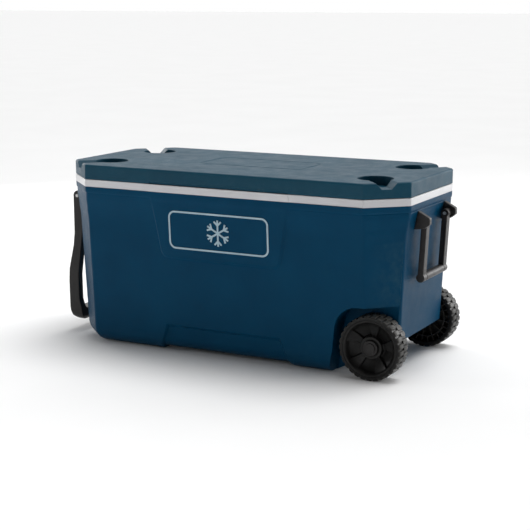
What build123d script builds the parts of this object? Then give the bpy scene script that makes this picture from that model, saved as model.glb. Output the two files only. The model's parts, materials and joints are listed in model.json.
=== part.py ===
from build123d import *
import math
import os

# Wheeled picnic cooler. X runs along its length: tow handle at -X, wheels and carry handle at +X.
# -Y is the front, +Y the hinge side, z = 0 is the ground. Lengths are in millimetres.

# Moves the finished cooler so the middle of its overall box is on the Z axis.
CENTRE_SHIFT = (9.0, -5.15, 0.0)

# Octagonal tub: (height, half length, half width, corner cut along X, corner cut along Y)
TUB_GROUND = (0.0, 433.5, 191.0, 62.5, 60.0)
TUB_SHOULDER = (339.0, 449.5, 207.0, 74.5, 70.0)
TUB_BAND = (386.0, 460.0, 217.5, 85.0, 80.0)
TUB_TOP = (403.0, 460.0, 217.5, 85.0, 80.0)
CORNER_RADIUS = 8.0
BOTTOM_RADIUS = 38.0
BOTTOM_STEPS = 6
WALL = 3.0

# Liner: the food compartment and its pale rim
CAVITY_FLOOR = (48.0, 392.0, 156.0, 50.0, 47.0)
CAVITY_MOUTH = (421.0, 410.0, 172.0, 62.0, 58.0)
RIM_TOP = 421.0
STEP_X = 248.0
STEP_Z = 188.0

# Where the tub's insulation is divided into sections, just outside the liner
FOAM_FLOOR_Z = CAVITY_FLOOR[0] - WALL
FOAM_STEP_X = STEP_X + WALL
FOAM_STEP_Z = STEP_Z - WALL
FOAM_SIDE_X = 347.0
FOAM_END_Y = 113.0
FAR = 700.0

# Raised panel in the middle of the front
PANEL_TOP_HALF = 190.0
PANEL_LOW_HALF = 162.0
PANEL_LOW_Z = 240.0
PANEL_FACE_TOP = (216.0, 387.0)
PANEL_FACE_LOW = (206.5, 240.0)
PANEL_CORNER = 26.0

# Badge on the panel
BADGE_LENGTH = 272.0
BADGE_HEIGHT = 94.0
BADGE_LINE = 4.4
BADGE_Z = 314.0

# Underside: gap between the feet, front and back recesses, sloping tail between the wheels
FOOT_GAP_HALF = 187.0
FOOT_HEIGHT = 6.0
RECESS_TOP_HALF = 155.0
RECESS_LOW_HALF = 180.0
RECESS_TOP_Z = 68.0
RECESS_DEPTH = 7.0
TAIL_START_X = 282.0
TAIL_SLOPE_DEG = 27.7

# Wheels and axle
WHEEL_X = 390.0
WHEEL_RADIUS = 76.0
TREAD_BASE_RADIUS = 71.5
LUG_COUNT = 29
LUG_WIDTH = 10.0
WHEEL_INNER_Y = 150.0
WHEEL_OUTER_Y = 202.0
POCKET_WALL_Y = 138.0
AXLE_RADIUS = 6.0
AXLE_HALF_LENGTH = 195.0
RUNNING_GAP = 0.05
HUB_RADIUS = 26.0
HUB_INNER_Y = 143.5
HUB_OUTER_Y = 191.0
DISH_RADIUS = 60.0
RIM_RADIUS = 64.0
SPOKE_COUNT = 5
RIB_COUNT = 12

# Lid
LID_BOTTOM = 422.0
LID_TOP = 458.0
LID_EDGE_RADIUS = 5.0
PLUG_BOTTOM = 409.0
PLUG_GAP = 3.0
CUP_X = 363.0
CUP_Y = 115.0
CUP_RADIUS = 42.0
CUP_DEPTH = 22.0
NOTCH_DEPTH = 15.0
NOTCH_TOP_WIDTH = 53.0
NOTCH_LOW_WIDTH = 24.0

# Hinges on the back
HINGE_X = 230.0
HINGE_Y = 222.8
HINGE_Z = 421.5
HINGE_BARREL = 5.0
HINGE_HALF_LENGTH = 32.0
HINGE_KNUCKLE_HALF = 10.5
HINGE_PIN_RADIUS = 1.5
LEAF_THICKNESS = 3.0

# Tow handle at -X
TOW_PIVOT = (-474.0, 360.0)
TOW_EYE_RADIUS = 13.0
TOW_LEG_Y = 105.0
TOW_LEG_HALF = 10.0

# Carry handle at +X
CARRY_PIVOT = (470.0, 360.0)
CARRY_GRIP = (463.0, 225.5)
CARRY_EYE_RADIUS = 10.0
CARRY_LEG_Y = 67.5
CARRY_LEG_HALF = 11.0
CARRY_BAR_RADIUS = 7.0
CARRY_GRIP_RADIUS = 10.5
HANDLE_PIN_RADIUS = 4.0

# Brackets stand beside the legs: between them at the tow end, outside them at the carry end
BRACKET_WIDTH = 14.0
BRACKET_GAP = 0.8
TOW_BRACKET_Y = TOW_LEG_Y - TOW_LEG_HALF - BRACKET_GAP - BRACKET_WIDTH
CARRY_BRACKET_Y = CARRY_LEG_Y + CARRY_LEG_HALF + BRACKET_GAP

# Drain at the low corner of the tow end
DRAIN_Z = 72.0
DRAIN_BORE = 6.0
DRAIN_TUBE = 9.0


def octagon(station, inset, radius):
    """Flat octagon at a station, moved inwards by inset, with its corners rounded."""
    z, half_x, half_y, cut_x, cut_y = station
    diagonal = math.hypot(cut_x, cut_y)
    corner_distance = cut_x * cut_y / diagonal
    scale = 1 - inset * ((cut_x + cut_y) / diagonal - 1) / corner_distance
    a = half_x - inset
    b = half_y - inset
    c = cut_x * scale
    d = cut_y * scale
    corners = [(a - c, -b), (a, d - b), (a, b - d), (a - c, b), (c - a, b), (-a, b - d), (-a, d - b), (c - a, -b)]
    outline = Polygon(*corners, align=None)
    return Pos(0, 0, z) * fillet(outline.vertices(), radius)


def between(low, high, z):
    """Station at height z on the straight line between two stations."""
    part = (z - low[0]) / (high[0] - low[0])
    return tuple(p + (q - p) * part for p, q in zip(low, high))


def tub(inset):
    """Solid tub without its features; inset moves every wall and the bottom inwards."""
    radius = max(CORNER_RADIUS - inset, 2.0)
    bottom_radius = BOTTOM_RADIUS - inset
    sections = []
    for step in range(BOTTOM_STEPS + 1):
        angle = math.radians(90 - 90 * step / BOTTOM_STEPS)
        z = inset + bottom_radius * (1 - math.sin(angle))
        squeeze = inset + bottom_radius * (1 - math.cos(angle))
        sections.append(octagon(between(TUB_GROUND, TUB_SHOULDER, z), squeeze, radius))
    wall_start = octagon(between(TUB_GROUND, TUB_SHOULDER, BOTTOM_RADIUS), inset, radius)
    shoulder = octagon(TUB_SHOULDER, inset, radius)
    band = octagon(TUB_BAND, inset, radius)
    solid = loft(sections)
    solid += loft([wall_start, shoulder], ruled=True)
    solid += loft([shoulder, band], ruled=True)
    solid += extrude(band, amount=TUB_TOP[0] - TUB_BAND[0], dir=(0, 0, 1))
    return solid


def prism_y(outline, y_low, y_high):
    """Prism with an (x, z) outline between two Y positions."""
    return Pos(0, y_low, 0) * extrude(Plane.XZ * outline, amount=y_high - y_low, dir=(0, 1, 0))


def prism_x(points, half_length):
    """Prism with a (y, z) outline, centred on x = 0."""
    face = Plane.YZ * Polygon(*points, align=None)
    return Pos(-half_length, 0, 0) * extrude(face, amount=2 * half_length, dir=(1, 0, 0))


def rod(radius, start, end):
    """Round bar between two points."""
    axis = Vector(*end) - Vector(*start)
    return extrude(Plane(origin=start, z_dir=axis) * Circle(radius), amount=axis.length)


def centre_panel(inset):
    """Raised panel on the front, tapering downwards."""
    front = [
        (-150, PANEL_LOW_Z + inset),
        (inset - PANEL_FACE_LOW[0], PANEL_LOW_Z + inset),
        (inset - PANEL_FACE_TOP[0], PANEL_FACE_TOP[1]),
        (inset - TUB_TOP[2], PANEL_FACE_TOP[1] + 2),
        (inset - TUB_TOP[2], TUB_TOP[0]),
        (-150, TUB_TOP[0]),
    ]
    top = PANEL_TOP_HALF - inset
    low = PANEL_LOW_HALF - inset
    outline = Polygon((-low, PANEL_LOW_Z + inset), (low, PANEL_LOW_Z + inset), (top, TUB_TOP[0]),
                      (-top, TUB_TOP[0]), align=None)
    low_corners = outline.vertices().sort_by(Axis.Y)[:2]
    outline = fillet(low_corners, PANEL_CORNER)
    return prism_x(front, 200) & prism_y(outline, -250, -100)


def wheel_pocket(side, grow):
    """Space cut for one wheel, open downwards, outwards and towards +X."""
    left = 275 - grow
    top = 168 + grow
    outline = Polygon((left, -20), (left + 10, 18), (left + 18, 56), (left + 20, top), (520, top),
                      (520, -20), align=None)
    corner = outline.vertices().filter_by(lambda v: abs(v.X - left - 20) < 0.1)
    outline = fillet(corner, 58)
    if side < 0:
        return prism_y(outline, -300, grow - POCKET_WALL_Y)
    return prism_y(outline, POCKET_WALL_Y - grow, 300)


def skirt_recess(grow):
    """Shallow recesses low in the front and back, which follow the rounded bottom edge."""
    low = RECESS_LOW_HALF + grow
    top = RECESS_TOP_HALF + grow
    peak = RECESS_TOP_Z + grow
    outline = Polygon((-low, -5), (low, -5), (top, peak), (-top, peak), align=None)
    trapezoid = prism_y(outline, -300, 300)
    middle = Box(1000, 2 * 110, 400)
    return trapezoid - tub(RECESS_DEPTH + grow - 0.5) - middle


def underside_cut(grow):
    """Gap between the feet and the sloping tail between the wheels."""
    gap = Pos(0, 0, FOOT_HEIGHT + grow - 50) * Box(2 * (FOOT_GAP_HALF + grow), 600, 100)
    rise = math.tan(math.radians(TAIL_SLOPE_DEG))
    start = TAIL_START_X - grow / math.sin(math.radians(TAIL_SLOPE_DEG))
    outline = Polygon((start, 0), (start + 260, 260 * rise), (900, 260 * rise), (900, -30), (start, -30), align=None)
    return gap + prism_y(outline, -300, 300)


def tub_with_features(inset):
    """Tub with its panel, wheel pockets, recesses and sloping tail."""
    solid = tub(inset) + centre_panel(inset)
    solid -= wheel_pocket(-1, inset)
    solid -= wheel_pocket(1, inset)
    solid -= underside_cut(inset)
    return solid - skirt_recess(inset)


def cavity(grow):
    """Food compartment with its raised step over the wheels; grow adds the liner's wall."""
    floor = between(CAVITY_FLOOR, CAVITY_MOUTH, CAVITY_FLOOR[0] - grow)
    space = loft([octagon(floor, -grow, 14 + grow), octagon(CAVITY_MOUTH, -grow, 14 + grow)], ruled=True)
    step_x = STEP_X + grow
    step_z = STEP_Z - grow
    return space - Pos(step_x + 250, 0, step_z - 250) * Box(500, 600, 500)


def block_of(foam, x_range, y_range, z_range):
    """The part of the foam inside an upright box."""
    sizes = [high - low for low, high in (x_range, y_range, z_range)]
    middle = [(low + high) / 2 for low, high in (x_range, y_range, z_range)]
    return foam & Pos(*middle) * Box(*sizes)


def foam_floor(foam):
    """Foam under the compartment, as far as the wheel block."""
    return block_of(foam, (-FAR, FOAM_STEP_X), (-FAR, FAR), (-FAR, FOAM_FLOOR_Z))


def foam_wheel_block(foam):
    """Foam under the raised step, between and round the wheel pockets."""
    return block_of(foam, (FOAM_STEP_X, FAR), (-FAR, FAR), (-FAR, FOAM_STEP_Z))


def foam_side_walls(foam):
    """Flat walls at the front and back, each in a deep part and a part over the wheel pocket."""
    walls = []
    for y_range in ((-FAR, -FOAM_END_Y), (FOAM_END_Y, FAR)):
        walls.append(block_of(foam, (-FOAM_SIDE_X, FOAM_STEP_X), y_range, (FOAM_FLOOR_Z, FAR)))
        walls.append(block_of(foam, (FOAM_STEP_X, FOAM_SIDE_X), y_range, (FOAM_STEP_Z, FAR)))
    return walls


def foam_end_walls(foam):
    """Flat walls at the tow end and over the tail."""
    tow_wall = block_of(foam, (-FAR, -FOAM_SIDE_X), (-FOAM_END_Y, FOAM_END_Y), (FOAM_FLOOR_Z, FAR))
    tail_wall = block_of(foam, (FOAM_SIDE_X, FAR), (-FOAM_END_Y, FOAM_END_Y), (FOAM_STEP_Z, FAR))
    return [tow_wall, tail_wall]


def foam_corners(foam):
    """Foam behind the four cut corners."""
    corners = []
    for y_range in ((-FAR, -FOAM_END_Y), (FOAM_END_Y, FAR)):
        corners.append(block_of(foam, (-FAR, -FOAM_SIDE_X), y_range, (FOAM_FLOOR_Z, FAR)))
        corners.append(block_of(foam, (FOAM_SIDE_X, FAR), y_range, (FOAM_STEP_Z, FAR)))
    return corners


def plate(station, inset, z_low, z_high, radius=CORNER_RADIUS):
    """Octagonal plate between two heights."""
    flat = (z_low,) + station[1:]
    return extrude(octagon(flat, inset, radius), amount=z_high - z_low, dir=(0, 0, 1))


def screw(point, direction, head_radius, length):
    """Cross-head screw whose head sits on point and whose shank runs against direction."""
    seat = Plane(origin=point, z_dir=direction)
    solid = extrude(seat * Circle(head_radius), amount=2.4)
    solid += extrude(seat * Circle(2.0), amount=-length)
    cross = Box(head_radius, 1.0, 3.0) + Box(1.0, head_radius, 3.0)
    return solid - seat * Pos(0, 0, 2.4) * cross


def axle():
    """Steel axle right through the tail of the tub."""
    return rod(AXLE_RADIUS, (WHEEL_X, -AXLE_HALF_LENGTH, WHEEL_RADIUS), (WHEEL_X, AXLE_HALF_LENGTH, WHEEL_RADIUS))


def axle_bushes():
    """Flanged plastic bush in each wheel pocket's inner wall."""
    bushes = []
    for side in (-1, 1):
        sleeve = rod(10, (WHEEL_X, side * 120, WHEEL_RADIUS), (WHEEL_X, side * POCKET_WALL_Y, WHEEL_RADIUS))
        flange = rod(15, (WHEEL_X, side * POCKET_WALL_Y, WHEEL_RADIUS), (WHEEL_X, side * 140.5, WHEEL_RADIUS))
        bushes.append(sleeve + flange - axle())
    return bushes


def axle_washers():
    """Steel washer between each bush and wheel hub."""
    washers = []
    for side in (-1, 1):
        ring = rod(13, (WHEEL_X, side * 141, WHEEL_RADIUS), (WHEEL_X, side * 143, WHEEL_RADIUS))
        washers.append(ring - axle())
    return washers


def axle_caps():
    """Push-on cap that keeps each wheel on the axle."""
    caps = []
    for side in (-1, 1):
        disc = rod(18, (WHEEL_X, side * 191.6, WHEEL_RADIUS), (WHEEL_X, side * 196, WHEEL_RADIUS))
        crown = rod(12, (WHEEL_X, side * 196, WHEEL_RADIUS), (WHEEL_X, side * 198, WHEEL_RADIUS))
        caps.append(disc + crown - axle())
    return caps


def tread_row(z_low, z_high, turn):
    """One row of tread lugs, built along local Z."""
    lugs = Sketch()
    for index in range(LUG_COUNT):
        angle = turn + 360 * index / LUG_COUNT
        length = WHEEL_RADIUS - RIM_RADIUS
        lugs += Rot(0, 0, angle) * Pos((WHEEL_RADIUS + RIM_RADIUS) / 2, 0) * Rectangle(length, LUG_WIDTH)
    lugs = lugs & Circle(WHEEL_RADIUS)
    ring = Circle(TREAD_BASE_RADIUS) - Circle(RIM_RADIUS)
    return Pos(0, 0, z_low) * extrude(ring + lugs, amount=z_high - z_low)


def wheel():
    """One moulded wheel about local Z, outer face up, z = 0 at the middle plane of the cooler."""
    middle = (WHEEL_INNER_Y + WHEEL_OUTER_Y) / 2
    lug_phase = 360 / LUG_COUNT
    solid = tread_row(WHEEL_INNER_Y, middle, -90)
    solid += tread_row(middle, WHEEL_OUTER_Y, -90 + lug_phase / 2)
    web = Pos(0, 0, 186) * extrude(Circle(RIM_RADIUS + 1) - Circle(DISH_RADIUS), amount=WHEEL_OUTER_Y - 186)
    dish = Pos(0, 0, 180) * extrude(Circle(RIM_RADIUS + 1), amount=6)
    hub = Pos(0, 0, HUB_INNER_Y) * extrude(Circle(HUB_RADIUS - 8), amount=HUB_OUTER_Y - HUB_INNER_Y)
    boss = Pos(0, 0, 183) * extrude(Circle(HUB_RADIUS), amount=HUB_OUTER_Y - 183)
    ring = Pos(0, 0, 160) * extrude(Circle(51.5) - Circle(48.5), amount=22)
    solid += web + dish + hub + boss + ring
    for index in range(SPOKE_COUNT):
        spoke = Pos(41, 0, 188.5) * Box(40, 13, 7)
        solid += Rot(0, 0, 90 + 360 * index / SPOKE_COUNT) * spoke
    for index in range(RIB_COUNT):
        rib = Pos(41, 0, 171.5) * Box(49, 2.6, 21)
        solid += Rot(0, 0, 360 * (index + 0.5) / RIB_COUNT) * rib
    bore = Circle(AXLE_RADIUS + RUNNING_GAP)
    return solid - Pos(0, 0, HUB_INNER_Y - 5) * extrude(bore, amount=60)


def front_wheel():
    """Wheel on the badge side."""
    place = Plane(origin=(WHEEL_X, 0, WHEEL_RADIUS), x_dir=(1, 0, 0), z_dir=(0, -1, 0))
    return place * wheel()


def lid_solid(inset):
    """Lid outline with a rounded top edge; inset leaves the room for its foam."""
    body = plate(TUB_BAND, inset, LID_BOTTOM, LID_TOP - inset, CORNER_RADIUS - inset / 2)
    top_edges = body.faces().sort_by(Axis.Z)[-1].edges()
    return fillet(top_edges, LID_EDGE_RADIUS - inset / 2)


def cup_wells(grow):
    """Four cup holders, each with a drip channel out through the lid's corner."""
    wells = None
    corner = Vector(TUB_BAND[1] - TUB_BAND[3] / 2, TUB_BAND[2] - TUB_BAND[4] / 2)
    for side_x in (-1, 1):
        for side_y in (-1, 1):
            cup = rod(CUP_RADIUS + grow, (side_x * CUP_X, side_y * CUP_Y, LID_TOP - CUP_DEPTH - grow),
                      (side_x * CUP_X, side_y * CUP_Y, LID_TOP + 20))
            direction = Vector(side_x * (corner.X - CUP_X), side_y * (corner.Y - CUP_Y), 0).normalized()
            top = NOTCH_TOP_WIDTH / 2 + grow
            low = NOTCH_LOW_WIDTH / 2 + grow
            slope = (top - low) / NOTCH_DEPTH
            section = Polygon((-low, LID_TOP - NOTCH_DEPTH - grow), (low, LID_TOP - NOTCH_DEPTH - grow),
                              (top + 10 * slope, LID_TOP + 10), (-top - 10 * slope, LID_TOP + 10), align=None)
            start = Vector(side_x * CUP_X, side_y * CUP_Y, 0)
            frame = Plane(origin=start, x_dir=direction.cross(Vector(0, 0, 1)), z_dir=direction)
            across = -1 if frame.y_dir.Z < 0 else 1
            channel = extrude(frame * Rot(0, 0, 0 if across > 0 else 180) * section, amount=120)
            wells = cup + channel if wells is None else wells + cup + channel
    return wells


def hinge_leaf(centre_x, low, high, tab_ranges, tab_low, tab_high):
    """Hinge leaf: a plate, its tabs to the barrel and the barrel's knuckles."""
    y = TUB_TOP[2] + LEAF_THICKNESS / 2
    leaf = Pos(centre_x, y, (low + high) / 2) * Box(2 * HINGE_HALF_LENGTH, LEAF_THICKNESS, high - low)
    for start, end in tab_ranges:
        middle = centre_x + (start + end) / 2
        leaf += Pos(middle, y, (tab_low + tab_high) / 2) * Box(end - start, LEAF_THICKNESS, tab_high - tab_low)
        leaf += rod(HINGE_BARREL, (centre_x + start, HINGE_Y, HINGE_Z), (centre_x + end, HINGE_Y, HINGE_Z))
    return leaf


def hinge_pin(centre_x, radius):
    """Pin through one hinge's knuckles."""
    start = (centre_x - HINGE_HALF_LENGTH - 1, HINGE_Y, HINGE_Z)
    return rod(radius, start, (centre_x + HINGE_HALF_LENGTH + 1, HINGE_Y, HINGE_Z))


def body_hinge_leaf(centre_x):
    """Leaf screwed to the tub, with the two outer knuckles."""
    gap = HINGE_KNUCKLE_HALF + 0.5
    tabs = [(-HINGE_HALF_LENGTH, -gap), (gap, HINGE_HALF_LENGTH)]
    leaf = hinge_leaf(centre_x, 388, 415, tabs, 410, HINGE_Z)
    return leaf - hinge_pin(centre_x, HINGE_PIN_RADIUS)


def lid_hinge_leaf(centre_x):
    """Leaf screwed to the lid, with the middle knuckle."""
    tabs = [(-HINGE_KNUCKLE_HALF, HINGE_KNUCKLE_HALF)]
    leaf = hinge_leaf(centre_x, 428, 450, tabs, HINGE_Z, 430)
    return leaf - hinge_pin(centre_x, HINGE_PIN_RADIUS + RUNNING_GAP)


def hinge_screws(z, length):
    """Screws of both hinges at one height."""
    y = TUB_TOP[2] + LEAF_THICKNESS
    screws = []
    for centre_x in (-HINGE_X, HINGE_X):
        for offset in (-22, 22):
            screws.append(screw((centre_x + offset, y, z), (0, 1, 0), 4.0, length))
    return screws


def bracket(direction, start, side):
    """Wedge-shaped boss beside one handle leg; direction is the end of the cooler it sits on."""
    profile = [(430, 387), (460, 386), (489, 370), (489, 355), (476, 345), (430, 339)]
    outline = Polygon(*[(direction * x, z) for x, z in profile], align=None)
    tip = outline.vertices().filter_by(lambda v: abs(v.X) > 480)
    outline = fillet(tip, 5)
    solid = prism_y(outline, start, start + BRACKET_WIDTH)
    if side < 0:
        solid = mirror(solid, about=Plane.XZ)
    return solid - tub(0)


def bracket_screws(direction, start):
    """Four screws from inside the shell into the two bosses at one end."""
    run = TUB_BAND[1] - TUB_SHOULDER[1]
    rise = TUB_BAND[0] - TUB_SHOULDER[0]
    normal = Vector(direction * rise, 0, -run).normalized()
    screws = []
    for side in (-1, 1):
        for z in (352, 374):
            outside = (TUB_SHOULDER[1] + (z - TUB_SHOULDER[0]) * run / rise) * direction
            seat = Vector(outside, side * (start + BRACKET_WIDTH / 2), z) - normal * WALL
            screws.append(screw(tuple(seat), tuple(-normal), 3.6, 15))
    return screws


def tow_pin(side, radius):
    """Pivot pin of one tow handle leg."""
    inner = side * (TOW_LEG_Y - TOW_LEG_HALF - 12)
    outer = side * (TOW_LEG_Y + TOW_LEG_HALF + 1.5)
    return rod(radius, (TOW_PIVOT[0], inner, TOW_PIVOT[1]), (TOW_PIVOT[0], outer, TOW_PIVOT[1]))


def tow_bracket(side):
    """Boss beside one tow handle leg."""
    return bracket(-1, TOW_BRACKET_Y, side) - tow_pin(side, HANDLE_PIN_RADIUS)


def tow_handle():
    """Long hanging bail: bowed side outline cut to a rounded U."""
    pivot_x = TOW_PIVOT[0]
    outer = [(-487, 360), (-487, 262), (-491, 228), (-506, 165), (-508, 130), (-507, 60), (-502, 38), (-488, 27)]
    inner = [(-474, 27), (-466, 38), (-470, 64), (-476, 84), (-477, 150), (-466, 228), (-461, 262), (-461, 360)]
    side = Polygon(*outer, *inner, align=None)
    side += Pos(pivot_x, TOW_PIVOT[1]) * Circle(TOW_EYE_RADIUS)
    half = TOW_LEG_Y + TOW_LEG_HALF
    slab = prism_y(side, -half, half)
    inside = TOW_LEG_Y - TOW_LEG_HALF
    outline = Pos(0, 227) * RectangleRounded(2 * half, 400, 26)
    window = Pos(0, 257) * RectangleRounded(2 * inside, 400, 12)
    ring = extrude(Plane.YZ * (outline - window), amount=600, dir=(-1, 0, 0))
    handle = slab & ring
    for sign in (-1, 1):
        handle -= tow_pin(sign, HANDLE_PIN_RADIUS + RUNNING_GAP)
    return handle


def carry_pin(side, radius):
    """Pivot pin of one carry handle leg."""
    inner = side * (CARRY_LEG_Y - CARRY_LEG_HALF - 1.5)
    outer = side * (CARRY_LEG_Y + CARRY_LEG_HALF + 11)
    return rod(radius, (CARRY_PIVOT[0], inner, CARRY_PIVOT[1]), (CARRY_PIVOT[0], outer, CARRY_PIVOT[1]))


def carry_bracket(side):
    """Boss beside one carry handle leg."""
    return bracket(1, CARRY_BRACKET_Y, side) - carry_pin(side, HANDLE_PIN_RADIUS)


def carry_leg(y_low, y_high):
    """One leg of the carry handle from eye to grip."""
    thickness = 7
    outline = Polygon((CARRY_PIVOT[0] - thickness, CARRY_PIVOT[1]), (CARRY_PIVOT[0] + thickness, CARRY_PIVOT[1]),
                      (CARRY_GRIP[0] + thickness, CARRY_GRIP[1]), (CARRY_GRIP[0] - thickness, CARRY_GRIP[1]),
                      align=None)
    leg = prism_y(outline, y_low, y_high)
    leg += rod(CARRY_EYE_RADIUS, (CARRY_PIVOT[0], y_low, CARRY_PIVOT[1]), (CARRY_PIVOT[0], y_high, CARRY_PIVOT[1]))
    return leg + rod(CARRY_GRIP_RADIUS, (CARRY_GRIP[0], y_low, CARRY_GRIP[1]), (CARRY_GRIP[0], y_high, CARRY_GRIP[1]))


def carry_handle():
    """Hanging bail at the wheel end."""
    inner = CARRY_LEG_Y - CARRY_LEG_HALF
    outer = CARRY_LEG_Y + CARRY_LEG_HALF
    bar = rod(CARRY_BAR_RADIUS, (CARRY_GRIP[0], -outer, CARRY_GRIP[1]), (CARRY_GRIP[0], outer, CARRY_GRIP[1]))
    solid = carry_leg(inner, outer) + carry_leg(-outer, -inner) + bar
    for sign in (-1, 1):
        solid -= carry_pin(sign, HANDLE_PIN_RADIUS + RUNNING_GAP)
    return solid


def carry_grip():
    """Round sleeve on the carry handle's bar."""
    half = CARRY_LEG_Y - CARRY_LEG_HALF - 0.5
    start = (CARRY_GRIP[0], -half, CARRY_GRIP[1])
    end = (CARRY_GRIP[0], half, CARRY_GRIP[1])
    return rod(CARRY_GRIP_RADIUS, start, end) - rod(CARRY_BAR_RADIUS, start, end)


def badge():
    """Plain rounded badge frame with a six-armed snowflake, raised from the panel."""
    frame = RectangleRounded(BADGE_LENGTH, BADGE_HEIGHT, 18)
    frame -= RectangleRounded(BADGE_LENGTH - 2 * BADGE_LINE, BADGE_HEIGHT - 2 * BADGE_LINE, 18 - BADGE_LINE)
    flake = Sketch()
    for index in range(3):
        flake += Rot(0, 0, 60 * index) * Rectangle(BADGE_LINE, 64)
    for index in range(6):
        for lean in (-1, 1):
            twig = Pos(0, 19) * Rot(0, 0, 45 * lean) * Pos(0, 6) * Rectangle(BADGE_LINE, 15)
            flake += Rot(0, 0, 60 * index) * twig
    outline = Pos(0, BADGE_Z) * (frame + flake)
    raised = prism_y(outline, -250, -150)
    low, high = PANEL_FACE_LOW, PANEL_FACE_TOP
    skin = prism_x([(-low[0], low[1]), (-high[0], high[1]), (-high[0] - 1.5, high[1]), (-low[0] - 1.5, low[1])], 150)
    return raised & skin


def drain_tube():
    """Drain body through the end wall, without its bore."""
    return rod(DRAIN_TUBE, (-382, 0, DRAIN_Z), (-443, 0, DRAIN_Z))


def drain_fitting():
    """Flanged drain tube."""
    flange = rod(17, (-430, 0, DRAIN_Z), (-443, 0, DRAIN_Z)) - tub(-0.8)
    return drain_tube() + flange - rod(DRAIN_BORE, (-370, 0, DRAIN_Z), (-450, 0, DRAIN_Z))


def drain_gasket():
    """Soft ring between the drain flange and the shell."""
    ring = rod(15, (-430, 0, DRAIN_Z), (-443, 0, DRAIN_Z)) & tub(-0.8)
    return ring - tub(0) - drain_tube()


def drain_nut():
    """Nut that holds the drain from inside the compartment."""
    hexagon = RegularPolygon(15, 6) - Circle(DRAIN_TUBE)
    nut = extrude(Plane(origin=(-384, 0, DRAIN_Z), z_dir=(-1, 0, 0)) * hexagon, amount=20)
    return nut & Pos(-387, 0, DRAIN_Z) * Box(6, 60, 60)


def drain_plug():
    """Push-in stopper with a pull tab."""
    stem = rod(DRAIN_BORE - RUNNING_GAP, (-424, 0, DRAIN_Z), (-443.4, 0, DRAIN_Z))
    cap = rod(10, (-443.4, 0, DRAIN_Z), (-448, 0, DRAIN_Z))
    return stem + cap + Pos(-452, 0, DRAIN_Z) * Box(9, 4, 16)


def save(name, *shapes):
    """Write one node; several shapes stay separate solids."""
    placed = [Pos(*CENTRE_SHIFT) * shape for shape in shapes]
    shape = placed[0] if len(placed) == 1 else Compound(children=placed)
    export_step(shape, f"parts/{name}.step")


def main():
    os.makedirs("parts", exist_ok=True)
    tow_screws = bracket_screws(-1, TOW_BRACKET_Y)
    carry_screws = bracket_screws(1, CARRY_BRACKET_Y)
    body_screws = hinge_screws(396, 14)
    lid_screws = hinge_screws(439, 14)
    axle_holes = [rod(10, (WHEEL_X, -POCKET_WALL_Y, WHEEL_RADIUS), (WHEEL_X, POCKET_WALL_Y, WHEEL_RADIUS))]
    drain_hole = rod(DRAIN_TUBE, (-370, 0, DRAIN_Z), (-450, 0, DRAIN_Z))
    holes = tow_screws + carry_screws + body_screws + axle_holes + [drain_hole]

    inner_void = tub_with_features(WALL)
    shell = tub_with_features(0) - inner_void - holes
    save("outer_shell", shell)
    rim = plate(TUB_TOP, 0, TUB_TOP[0], RIM_TOP)
    rim_void = plate(TUB_TOP, WALL, TUB_TOP[0], RIM_TOP - WALL, CORNER_RADIUS - WALL)
    liner_outside = cavity(WALL)
    foam = inner_void + rim_void - liner_outside - holes
    save("foam_floor", foam_floor(foam))
    save("foam_side_walls", *foam_side_walls(foam))
    save("foam_end_walls", *foam_end_walls(foam))
    save("foam_corners", *foam_corners(foam))
    save("foam_wheel_block", foam_wheel_block(foam))
    liner = rim - rim_void + (liner_outside & Box(2000, 2000, 2 * RIM_TOP)) - cavity(0) - drain_hole
    save("inner_liner", liner)
    save("badge", badge())

    lid_void = lid_solid(WALL) - cup_wells(WALL)
    plug = plate(CAVITY_MOUTH, PLUG_GAP, PLUG_BOTTOM, LID_BOTTOM)
    plug_void = plate(CAVITY_MOUTH, PLUG_GAP + WALL, PLUG_BOTTOM + WALL, LID_BOTTOM + WALL)
    floor_plate = plate(TUB_BAND, WALL, LID_BOTTOM, LID_BOTTOM + WALL, CORNER_RADIUS - WALL / 2)
    save("lid_shell", lid_solid(0) - cup_wells(0) - lid_void - lid_screws)
    save("lid_liner", floor_plate + plug - plug_void)
    save("lid_foam", lid_void - floor_plate + plug_void - lid_screws)

    save("hinge_body_leaves", *[body_hinge_leaf(x) - body_screws for x in (-HINGE_X, HINGE_X)])
    save("hinge_lid_leaves", *[lid_hinge_leaf(x) - lid_screws for x in (-HINGE_X, HINGE_X)])
    save("hinge_pins", *[hinge_pin(x, HINGE_PIN_RADIUS) for x in (-HINGE_X, HINGE_X)])
    save("hinge_body_screws", *body_screws)
    save("hinge_lid_screws", *lid_screws)

    save("axle", axle())
    save("axle_bushes", *axle_bushes())
    save("axle_washers", *axle_washers())
    save("axle_caps", *axle_caps())
    front = front_wheel()
    save("wheel_front", front)
    save("wheel_rear", mirror(front, about=Plane.XZ))

    save("tow_brackets", *[tow_bracket(side) - tow_screws for side in (-1, 1)])
    save("tow_pins", *[tow_pin(side, HANDLE_PIN_RADIUS) for side in (-1, 1)])
    save("tow_bracket_screws", *tow_screws)
    save("tow_handle", tow_handle())
    save("carry_brackets", *[carry_bracket(side) - carry_screws for side in (-1, 1)])
    save("carry_pins", *[carry_pin(side, HANDLE_PIN_RADIUS) for side in (-1, 1)])
    save("carry_bracket_screws", *carry_screws)
    save("carry_handle", carry_handle())
    save("carry_grip", carry_grip())

    save("drain_fitting", drain_fitting())
    save("drain_gasket", drain_gasket())
    save("drain_nut", drain_nut())
    save("drain_plug", drain_plug())


main()
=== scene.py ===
import json
import math

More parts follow.
